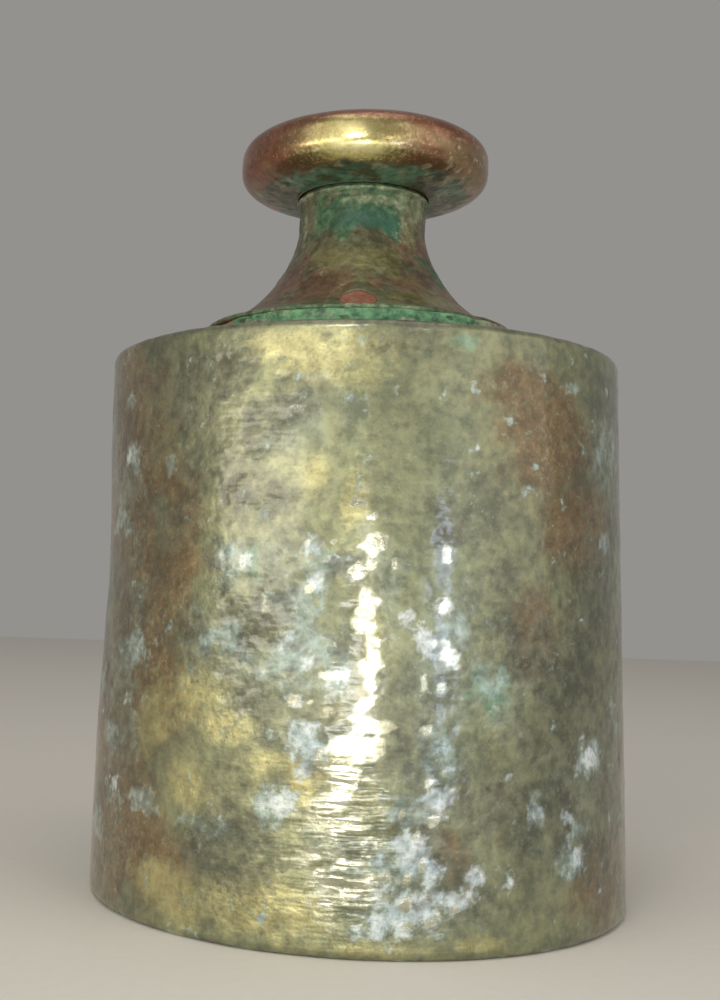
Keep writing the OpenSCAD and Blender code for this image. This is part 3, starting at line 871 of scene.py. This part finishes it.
# A painted highlight: a light yellow band just below the front of the widest edge
glow = bright * bell(z, head_wide_z - 1.7, 0.8) * bell(degrees, -6, 26)
height = outside * (
    -0.06
    + 0.03 * grain(smooth_place, 6, 85)
    + 0.012 * rough(smooth_place, 1.6, 86, 3)
    + 0.05 * under * rough(smooth_place, 0.8, 87, 3)
    - 0.04 * flecks
)
r = r + normal[..., 0] * height
z = z + normal[..., 1] * np.minimum(height, 0)
head = turned_object("head_turned", leaning(turn_points(r, z, angle)), {
    "under": np.where(outside, under, 0.6), "green": green * outside, "patch": patch * under * outside,
    "fleck": flecks * outside, "brown": brown * outside, "bright": bright * outside, "glow": glow * outside,
    "coarse": np.where(outside, 0.2 + 0.8 * under, 0.2)})
# Handled brass: the same metal as the barrel, kept smoother and glossier by fingers
head.data.materials.append(weathered(
    "handled_brass", ("#846c4e", "#a08462"), (0.85, 0.24, 0.36), (0.4, 0.10), 0.9, 5, 0.36, 0.04, 0.05, [
        # Brown: painted red-brown reflection on the shoulder and left side, and brown patina in random
        # patches
        ("brown", 1.2, 0.92, "#784634", "#965e48", 0.80, 0.32),
        # Bright is a painted sheen at the front and rubbed brass on the top; the next layer is a painted
        # highlight below the front edge
        ("bright", 1.7, 0.80, "#b8ac6c", "#dcd294", 0.90, 0.24),
        ("glow", 1.3, 0.90, "#e0d890", "#f8f2bc", 0.55, 0.34),
        ("under", 1.6, 0.92, "#3a4032", "#5c604a", 0.45, 0.50),
        ("green", 1.6, 0.85, "#34604e", "#6a9276", 0.15, 0.50),
        ("patch", 1.8, 0.75, "#7c7c60", "#aaa684", 0.40, 0.42),
        ("fleck", 2.2, 0.70, "#8c8468", "#bcb498", 0.40, 0.45),
    ]))
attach(head, "knob")
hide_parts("head")


# Lead shot and wad
# Cast lead pellets bring the weight to its mass. A punched disc of oiled leather is pressed on them.

lead, lead_shader, lead_place = blank_material("cast_lead")
# Dull grey lead: freshly cast it is bright, and in air it blooms to a soft matt grey
lead_bloom = add_node(lead, "ShaderNodeTexNoise", {}, {
    "Vector": lead_place, "Scale": 1 / (0.8 * MM), "Detail": 4}).outputs["Fac"]
lead_tone = add_node(lead, "ShaderNodeMix", {"data_type": "RGBA"}, {
    0: lead_bloom, 6: linear("#5a5c60"), 7: linear("#9a9c9f")})
lead.node_tree.links.new(lead_tone.outputs[2], lead_shader.inputs["Base Color"])
lead_shader.inputs["Metallic"].default_value = 0.8
lead_dull = add_node(lead, "ShaderNodeMapRange", {}, {"Value": lead_bloom, "To Min": 0.4, "To Max": 0.7})
lead.node_tree.links.new(lead_dull.outputs[0], lead_shader.inputs["Roughness"])
lead_dents = add_node(lead, "ShaderNodeBump", {}, {"Height": lead_bloom, "Distance": 0.1 * MM})
lead.node_tree.links.new(lead_dents.outputs["Normal"], lead_shader.inputs["Normal"])
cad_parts["lead_shot"].data.materials.clear()
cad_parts["lead_shot"].data.materials.append(lead)

wad_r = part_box("wad")[1][0] / MM
wad_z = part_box("wad")[0][2] / MM
wad_top_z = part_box("wad")[1][2] / MM
wad_middle_r = 0.3
wad_edge = 0.3
wad_top_edge = 0.6
wad_columns = 144
wad_section = np.concatenate([
    straight(wad_middle_r, wad_z, wad_r - wad_edge, wad_z, 12),
    corner(wad_r - wad_edge, wad_z + wad_edge, wad_edge, -90, 0, 5),
    straight(wad_r, wad_z + wad_edge, wad_r, wad_top_z - wad_top_edge, 8),
    corner(wad_r - wad_top_edge, wad_top_z - wad_top_edge, wad_top_edge, 0, 90, 8),
    straight(wad_r - wad_top_edge, wad_top_z, wad_middle_r, wad_top_z, 30),
])
angle, row, r, z, normal, place = section_grid(wad_section, even_columns(wad_columns))
height = -0.05 + 0.03 * rough(place, 0.9, 91, 3) - 0.06 * soft_step(grain(place, 1.6, 92), 0.5, 0.9)
r = r + normal[..., 0] * np.minimum(height, 0)
# The disc is domed: its top falls by a quarter of a millimetre towards the edge
z = z + normal[..., 1] * np.minimum(height, 0) - np.where(z > wad_z + 1, 0.25 * (r / wad_r) ** 3, 0)
wad = turned_object("wad_leather", turn_points(r, z, angle), {
    "dark": soft_step(rough(place, 1.5, 93, 3), -0.3, 0.6), "cut": soft_step(r, wad_r - 0.8, wad_r - 0.2),
    "coarse": np.ones(r.shape)})
# Oiled leather: a fine pebbled grain, dark where oil has soaked in and paler on the cut edge
wad.data.materials.append(weathered(
    "oiled_leather", ("#6b4a30", "#8d6848"), (0.0, 0.55, 0.75), (0.0, 0.3), 0.5, 3, 0.25, 0.15, 0.0, [
        ("dark", 1.4, 0.8, "#3f2b1c", "#5c4029", 0.0, 0.50),
        ("cut", 1.6, 0.7, "#9a7a56", "#b3946e", 0.0, 0.85),
    ]))
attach(wad, "weight_body")
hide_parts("wad")
